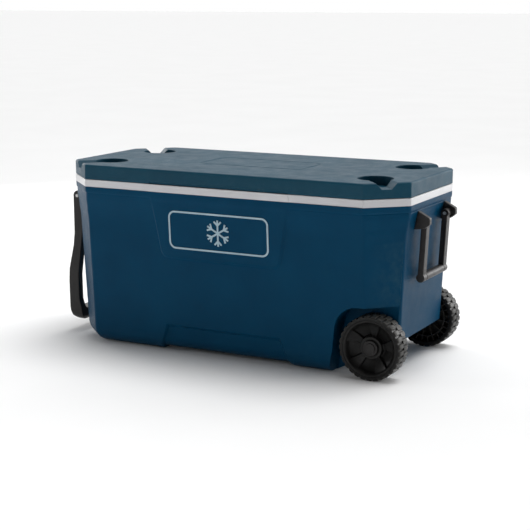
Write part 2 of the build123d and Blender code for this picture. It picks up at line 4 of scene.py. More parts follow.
import bmesh
import bpy
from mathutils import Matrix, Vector


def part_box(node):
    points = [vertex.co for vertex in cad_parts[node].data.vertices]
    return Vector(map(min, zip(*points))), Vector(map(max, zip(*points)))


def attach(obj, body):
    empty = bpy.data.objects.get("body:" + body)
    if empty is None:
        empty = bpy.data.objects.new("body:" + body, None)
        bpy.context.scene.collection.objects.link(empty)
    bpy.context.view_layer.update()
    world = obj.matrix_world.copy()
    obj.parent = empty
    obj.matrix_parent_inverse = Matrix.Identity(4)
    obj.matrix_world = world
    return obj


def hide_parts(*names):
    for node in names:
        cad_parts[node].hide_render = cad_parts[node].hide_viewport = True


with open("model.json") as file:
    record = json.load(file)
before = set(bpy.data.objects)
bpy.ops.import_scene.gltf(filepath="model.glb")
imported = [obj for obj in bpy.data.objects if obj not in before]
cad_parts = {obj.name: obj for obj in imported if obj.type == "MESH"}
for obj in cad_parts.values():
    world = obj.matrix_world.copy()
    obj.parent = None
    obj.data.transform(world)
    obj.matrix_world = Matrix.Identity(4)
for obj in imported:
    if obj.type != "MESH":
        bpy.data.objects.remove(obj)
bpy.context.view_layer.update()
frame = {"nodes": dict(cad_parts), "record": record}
MM = 0.001

# Where the middle of the tub stands in the frame: the lid is as long and as wide as the tub's band.
lid_low, lid_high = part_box("lid_shell")
CENTRE = Vector(((lid_low[0] + lid_high[0]) / 2, (lid_low[1] + lid_high[1]) / 2, 0))

# Camera, measured from the middle of the tub in metres
CAMERA_PLACE = Vector((1.553, -2.935, 0.870))
CAMERA_TARGET = Vector((0.016, 0.0, 0.2015))
CAMERA_LENS = 90.87


# ---------------------------------------------------------------- node helpers

class Shader:
    """A material with short calls for its nodes."""

    def __init__(self, name):
        self.material = bpy.data.materials.new(name)
        self.material.use_nodes = True
        self.tree = self.material.node_tree
        self.tree.nodes.clear()
        self.output = self.tree.nodes.new("ShaderNodeOutputMaterial")
        self.surface = self.tree.nodes.new("ShaderNodeBsdfPrincipled")
        self.tree.links.new(self.surface.outputs[0], self.output.inputs["Surface"])
        self.place = self.tree.nodes.new("ShaderNodeTexCoord").outputs["Object"]

    def link(self, source, target):
        self.tree.links.new(source, target)

    def noise(self, scale, detail=3.0, roughness=0.55, distortion=0.0):
        node = self.tree.nodes.new("ShaderNodeTexNoise")
        node.inputs["Scale"].default_value = scale
        node.inputs["Detail"].default_value = detail
        node.inputs["Roughness"].default_value = roughness
        node.inputs["Distortion"].default_value = distortion
        self.link(self.place, node.inputs["Vector"])
        return node.outputs["Fac"]

    def cells(self, scale, feature="F1", smooth=0.6):
        node = self.tree.nodes.new("ShaderNodeTexVoronoi")
        node.feature = feature
        node.inputs["Scale"].default_value = scale
        if feature == "SMOOTH_F1":
            node.inputs["Smoothness"].default_value = smooth
        self.link(self.place, node.inputs["Vector"])
        return node.outputs["Distance"]

    def ramp(self, value, stops):
        node = self.tree.nodes.new("ShaderNodeValToRGB")
        ramp = node.color_ramp
        while len(ramp.elements) < len(stops):
            ramp.elements.new(0.5)
        for element, (position, colour) in zip(ramp.elements, stops):
            element.position = position
            element.color = colour if len(colour) == 4 else (*colour, 1.0)
        self.link(value, node.inputs["Fac"])
        return node.outputs["Color"]

    def span(self, value, low_in, high_in, low_out, high_out):
        node = self.tree.nodes.new("ShaderNodeMapRange")
        node.inputs["From Min"].default_value = low_in
        node.inputs["From Max"].default_value = high_in
        node.inputs["To Min"].default_value = low_out
        node.inputs["To Max"].default_value = high_out
        self.link(value, node.inputs["Value"])
        return node.outputs["Result"]

    def math(self, kind, first, second):
        node = self.tree.nodes.new("ShaderNodeMath")
        node.operation = kind
        for socket, value in zip(node.inputs, (first, second)):
            if isinstance(value, (int, float)):
                socket.default_value = value
            else:
                self.link(value, socket)
        return node.outputs[0]

    def mix(self, factor, first, second):
        node = self.tree.nodes.new("ShaderNodeMix")
        node.data_type = "RGBA"
        for socket, value in ((node.inputs[0], factor), (node.inputs[6], first), (node.inputs[7], second)):
            if isinstance(value, tuple):
                socket.default_value = (*value, 1.0)
            elif isinstance(value, (int, float)):
                socket.default_value = value
            else:
                self.link(value, socket)
        return node.outputs[2]

    def bump(self, height, distance, strength=1.0, normal=None):
        node = self.tree.nodes.new("ShaderNodeBump")
        node.inputs["Distance"].default_value = distance
        node.inputs["Strength"].default_value = strength
        self.link(height, node.inputs["Height"])
        if normal is not None:
            self.link(normal, node.inputs["Normal"])
        return node.outputs["Normal"]

    def height(self):
        """Height above the ground at rest."""
        node = self.tree.nodes.new("ShaderNodeSeparateXYZ")
        self.link(self.place, node.inputs[0])
        return node.outputs["Z"]

    def edges(self):
        """1 along worn outer edges, 0 elsewhere."""
        node = self.tree.nodes.new("ShaderNodeNewGeometry")
        return self.span(node.outputs["Pointiness"], 0.52, 0.60, 0.0, 1.0)


# ---------------------------------------------------------------- materials

def grained_plastic():
    """Petrol blue moulded plastic with a fine leather grain."""
    s = Shader("navy_grained_plastic")
    tint = s.ramp(s.noise(9.0, 4.0), [(0.3, (0.0005, 0.043, 0.097)), (0.7, (0.0008, 0.051, 0.112))])
    pale = s.math("MULTIPLY", s.edges(), s.span(s.noise(60.0), 0.35, 0.75, 0.0, 0.5))
    dust = s.math("MULTIPLY", s.span(s.height(), 0.05, 0.0, 0.0, 0.08), s.noise(22.0, 5.0))
    worn = s.mix(pale, tint, (0.030, 0.085, 0.125))
    s.link(s.mix(dust, worn, (0.10, 0.11, 0.11)), s.surface.inputs["Base Color"])
    s.link(s.span(s.noise(35.0, 4.0), 0.3, 0.7, 0.34, 0.44), s.surface.inputs["Roughness"])
    grain = s.math("ADD", s.cells(620.0, "SMOOTH_F1"), s.math("MULTIPLY", s.noise(900.0, 2.0), 0.5))
    fine = s.bump(grain, 0.0004, 0.55)
    s.link(s.bump(s.noise(14.0, 2.0), 0.0010, 0.25, fine), s.surface.inputs["Normal"])
    s.surface.inputs["Specular IOR Level"].default_value = 0.06
    return s.material


def lid_plastic():
    """The same blue plastic with the coarser grain of the lid."""
    s = Shader("navy_lid_plastic")
    tint = s.ramp(s.noise(7.0, 4.0), [(0.3, (0.0012, 0.046, 0.082)), (0.7, (0.0022, 0.057, 0.098))])
    pale = s.math("MULTIPLY", s.edges(), s.span(s.noise(55.0), 0.35, 0.75, 0.0, 0.55))
    scuffs = s.span(s.noise(28.0, 8.0, 0.7, 1.2), 0.60, 0.72, 0.0, 0.10)
    worn = s.mix(pale, tint, (0.05, 0.11, 0.15))
    s.link(s.mix(scuffs, worn, (0.12, 0.17, 0.20)), s.surface.inputs["Base Color"])
    s.link(s.span(s.noise(30.0, 5.0), 0.3, 0.7, 0.42, 0.54), s.surface.inputs["Roughness"])
    grain = s.math("ADD", s.cells(430.0, "SMOOTH_F1"), s.math("MULTIPLY", s.noise(800.0, 2.0), 0.5))
    s.link(s.bump(grain, 0.0006, 0.7), s.surface.inputs["Normal"])
    s.surface.inputs["Specular IOR Level"].default_value = 0.18
    return s.material


def liner_plastic():
    """Smooth off-white plastic with faint staining."""
    s = Shader("white_liner_plastic")
    tint = s.ramp(s.noise(6.0, 4.0), [(0.3, (0.62, 0.62, 0.64)), (0.7, (0.70, 0.70, 0.72))])
    grime = s.span(s.noise(45.0, 8.0, 0.7), 0.58, 0.80, 0.0, 0.18)
    s.link(s.mix(grime, tint, (0.42, 0.41, 0.38)), s.surface.inputs["Base Color"])
    s.link(s.span(s.noise(50.0, 3.0), 0.3, 0.7, 0.28, 0.38), s.surface.inputs["Roughness"])
    s.link(s.bump(s.noise(300.0, 3.0), 0.0002, 0.5), s.surface.inputs["Normal"])
    return s.material


def black_plastic():
    """Satin black plastic of the handles, brackets and bushes."""
    s = Shader("black_satin_plastic")
    tint = s.ramp(s.noise(20.0, 4.0), [(0.3, (0.0075, 0.0065, 0.0065)), (0.7, (0.0130, 0.0115, 0.0115))])
    pale = s.math("MULTIPLY", s.edges(), s.span(s.noise(90.0), 0.35, 0.75, 0.0, 0.55))
    s.link(s.mix(pale, tint, (0.09, 0.087, 0.082)), s.surface.inputs["Base Color"])
    s.link(s.span(s.noise(60.0, 4.0), 0.3, 0.7, 0.30, 0.44), s.surface.inputs["Roughness"])
    s.link(s.bump(s.noise(1200.0, 2.0), 0.0002, 0.5), s.surface.inputs["Normal"])
    s.surface.inputs["Specular IOR Level"].default_value = 0.30
    return s.material


def wheel_plastic():
    """Hard black wheel plastic, worn pale along its edges and dusty on its tread."""
    s = Shader("black_wheel_plastic")
    tint = s.ramp(s.noise(25.0, 4.0), [(0.3, (0.0045, 0.0045, 0.0045)), (0.7, (0.0080, 0.0080, 0.0078))])
    axis_x = sum(corner[0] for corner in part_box("axle")) / 2
    axis_z = sum(corner[2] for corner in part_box("axle")) / 2
    split = s.tree.nodes.new("ShaderNodeSeparateXYZ")
    s.link(s.place, split.inputs[0])
    across = s.math("POWER", s.math("SUBTRACT", split.outputs["X"], axis_x), 2.0)
    up = s.math("POWER", s.math("SUBTRACT", split.outputs["Z"], axis_z), 2.0)
    radius = s.math("SQRT", s.math("ADD", across, up), 0.0)
    tread = s.span(radius, 0.0738, 0.0752, 0.0, 1.0)
    dust = s.math("MULTIPLY", tread, s.span(s.noise(160.0, 6.0, 0.7), 0.35, 0.65, 0.05, 0.38))
    worn = s.math("MULTIPLY", s.edges(), s.span(s.noise(90.0), 0.30, 0.70, 0.25, 0.60))
    dusty = s.mix(dust, tint, (0.095, 0.092, 0.080))
    s.link(s.mix(worn, dusty, (0.075, 0.073, 0.068)), s.surface.inputs["Base Color"])
    s.link(s.span(s.noise(80.0, 4.0), 0.3, 0.7, 0.34, 0.48), s.surface.inputs["Roughness"])
    s.surface.inputs["Specular IOR Level"].default_value = 0.22
    s.link(s.bump(s.noise(700.0, 4.0), 0.0003, 0.7), s.surface.inputs["Normal"])
    return s.material


def badge_plastic():
    """Pale blue satin relief of the badge."""
    s = Shader("pale_badge_plastic")
    tint = s.ramp(s.noise(30.0, 4.0), [(0.3, (0.36, 0.50, 0.58)), (0.7, (0.46, 0.60, 0.67))])
    wear = s.span(s.noise(220.0, 6.0, 0.7), 0.66, 0.80, 0.0, 0.5)
    s.link(s.mix(wear, tint, (0.10, 0.20, 0.27)), s.surface.inputs["Base Color"])
    s.link(s.span(s.noise(70.0), 0.3, 0.7, 0.36, 0.46), s.surface.inputs["Roughness"])
    s.link(s.bump(s.noise(900.0, 2.0), 0.0002, 0.5), s.surface.inputs["Normal"])
    return s.material


def plated_steel():
    """Zinc-plated steel with fine turning marks and dull patches."""
    s = Shader("plated_steel")
    tint = s.ramp(s.noise(120.0, 5.0), [(0.3, (0.42, 0.42, 0.41)), (0.7, (0.60, 0.60, 0.60))])
    rust = s.span(s.noise(260.0, 8.0, 0.75), 0.66, 0.78, 0.0, 0.35)
    s.link(s.mix(rust, tint, (0.22, 0.12, 0.06)), s.surface.inputs["Base Color"])
    s.link(s.span(s.noise(300.0, 4.0), 0.3, 0.7, 0.28, 0.46), s.surface.inputs["Roughness"])
    s.link(s.bump(s.noise(1500.0, 2.0), 0.0001, 0.5), s.surface.inputs["Normal"])
    s.surface.inputs["Metallic"].default_value = 1.0
    return s.material


def blown_foam():
    """Yellowish insulation foam."""
    s = Shader("insulation_foam")
    s.link(s.ramp(s.noise(40.0, 5.0), [(0.3, (0.62, 0.50, 0.24)), (0.7, (0.76, 0.66, 0.40))]),
           s.surface.inputs["Base Color"])
    s.link(s.span(s.noise(90.0), 0.3, 0.7, 0.7, 0.9), s.surface.inputs["Roughness"])
    s.link(s.bump(s.cells(500.0), 0.0008, 0.8), s.surface.inputs["Normal"])
    return s.material


def soft_rubber():
    """Dark seal rubber."""
    s = Shader("seal_rubber")
    s.link(s.ramp(s.noise(60.0, 4.0), [(0.3, (0.020, 0.020, 0.020)), (0.7, (0.040, 0.040, 0.040))]),
           s.surface.inputs["Base Color"])
    s.link(s.span(s.noise(90.0), 0.3, 0.7, 0.6, 0.8), s.surface.inputs["Roughness"])
    s.link(s.bump(s.noise(900.0), 0.0002, 0.6), s.surface.inputs["Normal"])
    return s.material


MATERIALS = {
    "navy_shell": grained_plastic(),
    "white_liner": liner_plastic(),
    "black_plastic": black_plastic(),
    "wheel_plastic": wheel_plastic(),
    "pale_badge": badge_plastic(),
    "steel": plated_steel(),
    "foam": blown_foam(),
    "seal": soft_rubber(),
}
LID_MATERIAL = lid_plastic()
SLOT_OF = {part["node"]: part["material_slot"] for part in frame["record"]["subparts"]}
BODY_OF = {node: body for body, nodes in frame["record"]["behaviour"]["bodies"].items() for node in nodes}


def material_of(node):
    """Material for a CAD node or the piece that replaces it."""
    if node == "lid_shell":
        return LID_MATERIAL
    return MATERIALS[SLOT_OF[node]]


# ---------------------------------------------------------------- pieces

def finish_piece(piece, node, material=None):
    """Gives a piece its material and lets it stand for a CAD node."""
    piece.data.materials.clear()
    piece.data.materials.append(material or material_of(node))
    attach(piece, BODY_OF[node])
    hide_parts(node)


def carved(mesh, cutters):
    """Mesh left when closed forms are cut out; the forms are removed."""
    form = bmesh.new()
    form.from_mesh(mesh)
    bmesh.ops.remove_doubles(form, verts=form.verts, dist=0.00001)
    form.to_mesh(mesh)
    form.free()
    piece = bpy.data.objects.new("carving", mesh)
    bpy.context.scene.collection.objects.link(piece)
    carve(piece, cutters)
    mesh = piece.data
    bpy.data.objects.remove(piece)
    return mesh


def softened(node, width, segments=3, sharp_deg=30.0, cutters=()):
    """Copy of a CAD node with merged flat faces and rounded edges, after cutting out closed forms."""
    mesh = frame["nodes"][node].data.copy()
    if cutters:
        mesh = carved(mesh, cutters)
    mesh.name = node + "_soft"
    form = bmesh.new()
    form.from_mesh(mesh)
    bmesh.ops.remove_doubles(form, verts=form.verts, dist=0.00001)
    # Faces that look straight down stay unmerged: a ring-shaped one could be filled across its hole.
    merging = [edge for edge in form.edges if not all(face.normal.z < -0.99 for face in edge.link_faces)]
    touched = {corner for edge in merging for corner in edge.verts}
    corners = [corner for corner in form.verts if corner in touched]
    bmesh.ops.dissolve_limit(form, angle_limit=math.radians(0.6), verts=corners, edges=merging,
                             delimit={"NORMAL"})
    weights = form.edges.layers.float.new("bevel_weight_edge")
    for edge in form.edges:
        if len(edge.link_faces) == 2 and edge.calc_face_angle(0.0) > math.radians(sharp_deg):
            edge[weights] = 1.0 if edge.is_convex else 0.15
    for face in form.faces:
        face.smooth = True
    form.to_mesh(mesh)
    form.free()
    piece = bpy.data.objects.new(node + "_piece", mesh)
    bpy.context.scene.collection.objects.link(piece)
    bevel = piece.modifiers.new("edges", "BEVEL")
    bevel.width = width
    bevel.segments = segments
    bevel.limit_method = "WEIGHT"
    bevel.use_clamp_overlap = False
    normals = piece.modifiers.new("normals", "WEIGHTED_NORMAL")
    normals.keep_sharp = True
    finish_piece(piece, node)
    return piece


# ---------------------------------------------------------------- outer shell

# Tub sections as (height, half length, half width, corner cut along X, corner cut along Y), in mm
GROUND = (0.0, 433.5, 191.0, 62.5, 60.0)
SHOULDER = (339.0, 449.5, 207.0, 74.5, 70.0)
BAND = (386.0, 460.0, 217.5, 85.0, 80.0)
TUB_TOP = 403.0
BOTTOM_RADIUS = 38.0
CORNER_RADIUS = 12.0
CORNER_STEPS = 5
PANEL_TOP_HALF = 190.0
PANEL_LOW_HALF = 162.0
PANEL_LOW_Z = 240.0
PANEL_CORNER = 20.0
PANEL_FACE_LOW = 206.5
PANEL_FACE_TOP = 216.0
RECESS_TOP_HALF = 155.0
RECESS_LOW_HALF = 180.0
RECESS_TOP_Z = 68.0
RECESS_DEPTH = 7.0
POCKET_WALL_Y = 138.0
ROOM_FLOOR_Z = 44.0
ROOM_STEP_Z = 184.5
PAST_SIDES = 300.0
PAST_TOP = 420.0


def smooth_step(value, low, high):
    """0 below low, 1 above high and a smooth rise between."""
    part = min(max((value - low) / (high - low), 0.0), 1.0)
    return part * part * (3 - 2 * part)


def mix(first, second, part):
    """Value part of the way from the first to the second."""
    return first + (second - first) * part


def section_at(z):
    """Half length, half width and corner cuts of the tub at a height, with softened shoulder bends."""
    if z <= SHOULDER[0]:
        low, high = GROUND, SHOULDER
    else:
        low, high = SHOULDER, BAND
    part = min((z - low[0]) / (high[0] - low[0]), 1.0)
    sizes = [mix(a, b, part) for a, b in zip(low[1:], high[1:])]
    soften = 5.0 * math.exp(-((z - SHOULDER[0]) / 9.0) ** 2) * 0.22
    soften -= 5.0 * math.exp(-((z - BAND[0] + 3) / 7.0) ** 2) * 0.26
    lip = 0.9 * (smooth_step(z, 384.5, 386.0) - smooth_step(z, 388.0, 389.5))
    grow = soften - lip
    return (sizes[0] + grow, sizes[1] + grow, sizes[2], sizes[3])


def feature_half(z):
    """Half length of the front's middle feature: the panel above, the recess below."""
    if z >= PANEL_LOW_Z:
        return mix(PANEL_LOW_HALF, PANEL_TOP_HALF, (z - PANEL_LOW_Z) / (TUB_TOP - PANEL_LOW_Z))
    if z >= RECESS_TOP_Z:
        return mix(RECESS_TOP_HALF, PANEL_LOW_HALF, (z - RECESS_TOP_Z) / (PANEL_LOW_Z - RECESS_TOP_Z))
    return mix(RECESS_LOW_HALF, RECESS_TOP_HALF, z / RECESS_TOP_Z)


def rounded_inside(x, z, low_z, half, radius):
    """How far a point is inside a band |x| < half above low_z, with rounded lower corners."""
    in_x = half - abs(x)
    in_z = z - low_z
    if in_x < radius and in_z < radius:
        return radius - math.hypot(radius - in_x, radius - in_z)
    return min(in_x, in_z)


def panel_depth(x, z, half_width):
    """How far the front stands out beyond the plain wall at a point of the raised panel."""
    if z < PANEL_LOW_Z - 8:
        return 0.0
    face = mix(PANEL_FACE_LOW, PANEL_FACE_TOP, (z - PANEL_LOW_Z) / (BAND[0] - PANEL_LOW_Z))
    face = mix(face, BAND[2], smooth_step(z, 376, 392))
    proud = max(face - half_width, 0.0)
    inside = rounded_inside(x, z, PANEL_LOW_Z, feature_half(z), PANEL_CORNER)
    return proud * smooth_step(inside, -2.0, 6.0)


def recess_depth(x, z):
    """How far the wall steps in at a point of the low recess."""
    if z > RECESS_TOP_Z + 6:
        return 0.0
    inside = min(feature_half(z) - abs(x), RECESS_TOP_Z - z)
    return RECESS_DEPTH * smooth_step(inside, -4.0, 4.0)


def column_steps():
    """Positions along the front: -1 to 1 across the middle feature, beyond it the flanks."""
    near = [0.940, 0.956, 0.968, 0.976, 0.984, 0.992, 1.0]
    middle = [0.0, 0.35, 0.65, 0.85, 0.91] + near
    flank = [1.012, 1.024, 1.036, 1.05, 1.10, 1.5, 2.0]
    right = middle + flank
    return [-value for value in reversed(right[1:])] + right


def column_x(step, z, end):
    """X of a front column at a height; end is where the corner's rounding starts."""
    half = feature_half(z)
    if abs(step) <= 1.0:
        return step * half
    if abs(step) < 1.2:
        reach = min((abs(step) - 1.0) * half, end - half)
    else:
        reach = mix(0.10 * half, end - half, (abs(step) - 1.10) / 0.90)
    return math.copysign(half + reach, step)


def ring(z, angle):
    """One ring of the tub. angle is 0 on the walls and rises to 90 degrees under the rounded bottom."""
    height = BOTTOM_RADIUS * (1 - math.sin(angle)) if angle > 0 else z
    squeeze = BOTTOM_RADIUS * (1 - math.cos(angle))
    a, b, cut_x, cut_y = section_at(height)
    diagonal = math.hypot(cut_x, cut_y)
    scale = 1 - squeeze * ((cut_x + cut_y) / diagonal - 1) / (cut_x * cut_y / diagonal)
    a, b, cut_x, cut_y = a - squeeze, b - squeeze, cut_x * scale, cut_y * scale
    turn = math.atan2(cut_y, cut_x)
    long_trim = CORNER_RADIUS * math.tan(turn / 2)
    short_trim = CORNER_RADIUS * math.tan((math.pi / 2 - turn) / 2)
    front_end = a - cut_x - long_trim
    points = []

    def wall(side):
        for step in column_steps():
            x = column_x(step, height, front_end) * -side
            proud = panel_depth(x, height, b) if side < 0 and angle == 0 else 0.0
            inset = recess_depth(x, height)
            y = b + proud - inset * math.cos(angle)
            points.append((x, side * y, height + inset * math.sin(angle)))

    def arc(centre_x, centre_y, start, sweep):
        for index in range(1, CORNER_STEPS):
            heading = start + sweep * index / CORNER_STEPS
            points.append((centre_x + CORNER_RADIUS * math.cos(heading),
                           centre_y + CORNER_RADIUS * math.sin(heading), height))

    def quarter(sx, sy, forwards):
        """The cut corner in one quadrant, from the long wall to the end wall or back."""
        saved = len(points)
        lean = math.pi / 2 - turn
        long_centre = (front_end, b - CORNER_RADIUS)
        end_y = b - cut_y - short_trim
        short_centre = (a - CORNER_RADIUS, end_y)
        arc(*long_centre, math.pi / 2, -(math.pi / 2 - lean))
        heading = lean
        points.append((long_centre[0] + CORNER_RADIUS * math.cos(heading),
                       long_centre[1] + CORNER_RADIUS * math.sin(heading), height))
        points.append((short_centre[0] + CORNER_RADIUS * math.cos(heading),
                       short_centre[1] + CORNER_RADIUS * math.sin(heading), height))
        arc(*short_centre, lean, -lean)
        points.append((a, end_y, height))
        made = [(sx * x, sy * y, z_) for x, y, z_ in points[saved:]]
        points[saved:] = made if forwards else list(reversed(made))

    wall(-1)
    quarter(1, -1, True)
    quarter(1, 1, False)
    wall(1)
    quarter(-1, 1, True)
    quarter(-1, -1, False)
    return points


def ring_heights():
    """Heights of the wall rings, close together where the shape bends."""
    heights = [38 + 3 * index for index in range(1, 8)]
    heights += [61, 63, 65, 66.5, 68, 69.5, 71, 73, 76, 90, 120, 150, 180, 210, 230]
    heights += [236, 238, 239.5, 241, 242.5, 244, 246, 249, 253, 258, 264, 275, 295, 315, 326]
    heights += [331, 335, 339, 343, 347, 352, 365, 374, 378, 381]
    heights += [384, 385, 386, 387, 388, 389, 390, 393, 397, 400, 403]
    return heights


def mesh_object(name, points, faces):
    """Mesh object from points in mm measured from the middle of the tub."""
    mesh = bpy.data.meshes.new(name)
    mesh.from_pydata([Vector(point) * MM + CENTRE for point in points], [], faces)
    mesh.update()
    piece = bpy.data.objects.new(name, mesh)
    bpy.context.scene.collection.objects.link(piece)
    return piece


def tub_object():
    """Closed outer form of the tub."""
    rings = [ring(0, math.radians(90 - 10 * index)) for index in range(9)]
    rings.append(ring(BOTTOM_RADIUS, 0))
    rings += [ring(height, 0) for height in ring_heights()]
    count = len(rings[0])
    points = [point for one in rings for point in one]
    faces = []
    for level in range(len(rings) - 1):
        for index in range(count):
            after = (index + 1) % count
            low = level * count
            high = low + count
            faces.append((low + index, low + after, high + after, high + index))
    columns = len(column_steps())
    corner = (count - 2 * columns) // 2
    back = columns + corner
    for index in range(columns - 1):
        faces.append((index, back + columns - 1 - index, back + columns - 2 - index, index + 1))
    faces.append(tuple([columns - 1] + [back] + list(range(back - 1, columns - 1, -1))))
    faces.append(tuple([0] + list(range(count - 1, back + columns - 2, -1))))
    top = (len(rings) - 1) * count
    faces.append(tuple(top + index for index in range(count)))
    return mesh_object("outer_shell_form", points, faces)


def prism_object(name, outline, low, high, axis):
    """Closed prism from an outline in the two other axes, between two positions along one axis."""
    def place(pair, along):
        first, second = pair
        return {"Y": (first, along, second), "Z": (first, second, along)}[axis]

    count = len(outline)
    points = [place(pair, low) for pair in outline] + [place(pair, high) for pair in outline]
    faces = [tuple(range(count)), tuple(range(2 * count - 1, count - 1, -1))]
    for index in range(count):
        after = (index + 1) % count
        faces.append((index, index + count, after + count, after))
    piece = mesh_object(name, points, faces)
    form = bmesh.new()
    form.from_mesh(piece.data)
    bmesh.ops.recalc_face_normals(form, faces=form.faces)
    form.to_mesh(piece.data)
    form.free()
    return piece


def pocket_outline():
    """Side view of a wheel pocket, with its large rounded corner."""
    radius = 60.0
    corner = []
    for angle in range(0, 91, 9):
        heading = math.radians(angle)
        corner.append((299 + radius - radius * math.cos(heading), 108 + radius * math.sin(heading)))
    return [(275, -20), (285, 18), (293, 56)] + corner + [(520, 168), (520, -20)]


def carve(piece, cutters):
    """Cuts closed forms out of a piece and removes them."""
    for cutter in cutters:
        cut = piece.modifiers.new("cut", "BOOLEAN")
        cut.operation = "DIFFERENCE"
        cut.solver = "EXACT"
        cut.object = cutter
    shape = piece.evaluated_get(bpy.context.evaluated_depsgraph_get())
    mesh = bpy.data.meshes.new_from_object(shape)
    piece.modifiers.clear()
    piece.data = mesh
    for cutter in cutters:
        bpy.data.objects.remove(cutter)


def octagon_outline(half_x, half_y, cut_x, cut_y):
    """Outline of a rectangle with cut corners, anticlockwise."""
    a, b, c, d = half_x, half_y, cut_x, cut_y
    right = [(a - c, -b), (a, d - b), (a, b - d), (a - c, b)]
    return right + [(c - a, b), (-a, b - d), (-a, d - b), (c - a, -b)]


def outer_shell():
    """Blue tub: tapered walls, raised badge panel, wheel pockets and sloping tail."""
    piece = tub_object()
    tail = [(282, 0), (542, 136.5), (900, 136.5), (900, -30), (282, -30)]
    lower_room = [(-405, -117), (-354, -168), (256, -168), (256, 168), (-354, 168), (-405, 117)]
    cutters = [
        prism_object("pocket_front", pocket_outline(), -PAST_SIDES, -POCKET_WALL_Y, "Y"),
        prism_object("pocket_back", pocket_outline(), POCKET_WALL_Y, PAST_SIDES, "Y"),
        prism_object("tail_cut", tail, -PAST_SIDES, PAST_SIDES, "Y"),
        prism_object("room_low", lower_room, ROOM_FLOOR_Z, PAST_TOP, "Z"),
        prism_object("room_high", octagon_outline(437, 194.5, 66, 64), ROOM_STEP_Z, PAST_TOP, "Z"),
    ]
    carve(piece, cutters)
    soften_edges(piece, 1.1 * MM, pocket_width=3.0 * MM)
    finish_piece(piece, "outer_shell")


def soften_edges(piece, width, pocket_width):
    """Rounds sharp edges, more so round the wheel pockets, and shades the rest smoothly."""
    form = bmesh.new()
    form.from_mesh(piece.data)
    bmesh.ops.remove_doubles(form, verts=form.verts, dist=0.00002)
    bmesh.ops.dissolve_limit(form, angle_limit=math.radians(0.25), verts=form.verts, edges=form.edges)
    weights = form.edges.layers.float.new("bevel_weight_edge")
    for edge in form.edges:
        if len(edge.link_faces) != 2 or edge.calc_face_angle(0.0) < math.radians(38):
            continue
        middle = ((edge.verts[0].co + edge.verts[1].co) / 2 - CENTRE) / MM
        outside = middle.x > 270 and middle.z < 175 and (abs(middle.y) > 141 or middle.x > 420)
        edge[weights] = 1.0 if outside else width / pocket_width
    for face in form.faces:
        face.smooth = True
    form.to_mesh(piece.data)
    form.free()
    bevel = piece.modifiers.new("edges", "BEVEL")
    bevel.width = pocket_width
    bevel.segments = 4
    bevel.limit_method = "WEIGHT"
    bevel.use_clamp_overlap = True
    normals = piece.modifiers.new("normals", "WEIGHTED_NORMAL")
    normals.keep_sharp = True


# ---------------------------------------------------------------- wheels

WHEEL_RADIUS = 76.0
TREAD_BASE = 73.0
LUG_COUNT = 29
LUG_SHARE = 0.68
LUG_EDGE = 0.035
SPOKE_COUNT = 5
SPOKE_TURN = math.radians(82)
BORE_RADIUS = 6.05
HUB_INNER = 143.5
RIB_COUNT = 24
RIB_HALF = 1.3
RIB_HUB = 17.0
RIB_RING = 50.0
RIB_TIP = 63.5
RIB_LOW = 156.0
RIB_HIGH = 175.0

# Wheel cross-section, with distances from the cooler's middle plane.
# The dished outer side is (radius, distance) through a spoke and through a pocket.
# The tread is (distance, share of the lug height, lug row). The inner side is (radius, distance).
OUTER_SIDE = [
    ((BORE_RADIUS, 190.4), (BORE_RADIUS, 190.4)),
    ((19.0, 190.4), (19.0, 190.4)),
    ((20.2, 191.0), (20.2, 191.0)),
    ((24.8, 191.0), (24.8, 191.0)),
    ((26.0, 190.2), (26.0, 190.2)),
    ((26.6, 188.5), (26.8, 186.0)),
    ((27.4, 183.4), (28.0, 177.0)),
    ((29.5, 182.4), (30.0, 175.8)),
    ((40.0, 185.2), (39.0, 178.6)),
    ((50.0, 189.6), (48.0, 182.6)),
    ((56.5, 193.2), (54.5, 186.4)),
    ((59.0, 195.4), (57.0, 189.4)),
    ((60.6, 197.6), (59.6, 196.4)),
    ((61.6, 199.4), (61.6, 199.4)),
    ((63.0, 200.4), (63.0, 200.4)),
    ((65.6, 200.8), (65.6, 200.8)),
    ((66.2, 200.1), (66.2, 200.1)),
    ((67.0, 200.1), (67.0, 200.1)),
    ((67.6, 200.9), (67.6, 200.9)),
    ((70.4, 201.4), (70.4, 201.4)),
]
TREAD = [
    (201.6, 0.0, 0), (200.6, 0.75, 0), (199.4, 1.0, 0), (188.0, 1.0, 0), (177.6, 1.0, 0), (176.8, 0.8, 0),
    (176.4, 0.0, 0), (175.6, 0.0, 1), (175.2, 0.8, 1), (174.4, 1.0, 1), (164.0, 1.0, 1), (152.6, 1.0, 1),
    (151.4, 0.75, 1), (150.4, 0.0, 1),
]
INNER_SIDE = [
    (70.4, 150.2), (66.0, 150.2), (64.6, 150.8), (64.0, 152.4), (62.6, 174.0), (60.5, 176.0), (50.0, 174.6),
    (32.0, 172.0), (20.0, 171.6), (18.6, 170.4), (18.0, 146.0), (17.0, HUB_INNER), (BORE_RADIUS, HUB_INNER),
]


def wheel_angles():
    """Turns of the wheel's columns, in lug pitches, with pairs at each lug's flanks."""
    marks = []
    for row_shift in (0.0, 0.5):
        for flank in (0.0, LUG_SHARE):
            marks += [(row_shift + flank - LUG_EDGE) % 1.0, (row_shift + flank + LUG_EDGE) % 1.0]
    marks += [0.25, 0.75, 0.31, 0.90]
    marks = sorted(marks)
    return [lug + mark for lug in range(LUG_COUNT) for mark in marks]


def lug_height(turn, row):
    """1 on a lug of that row and 0 between lugs."""
    part = (turn + 0.5 * row) % 1.0
    centre = LUG_SHARE / 2
    away = min(abs(part - centre), abs(part - centre - 1), abs(part - centre + 1))
    return 1.0 - smooth_step(away, centre - LUG_EDGE * 1.01, centre + LUG_EDGE * 1.01)


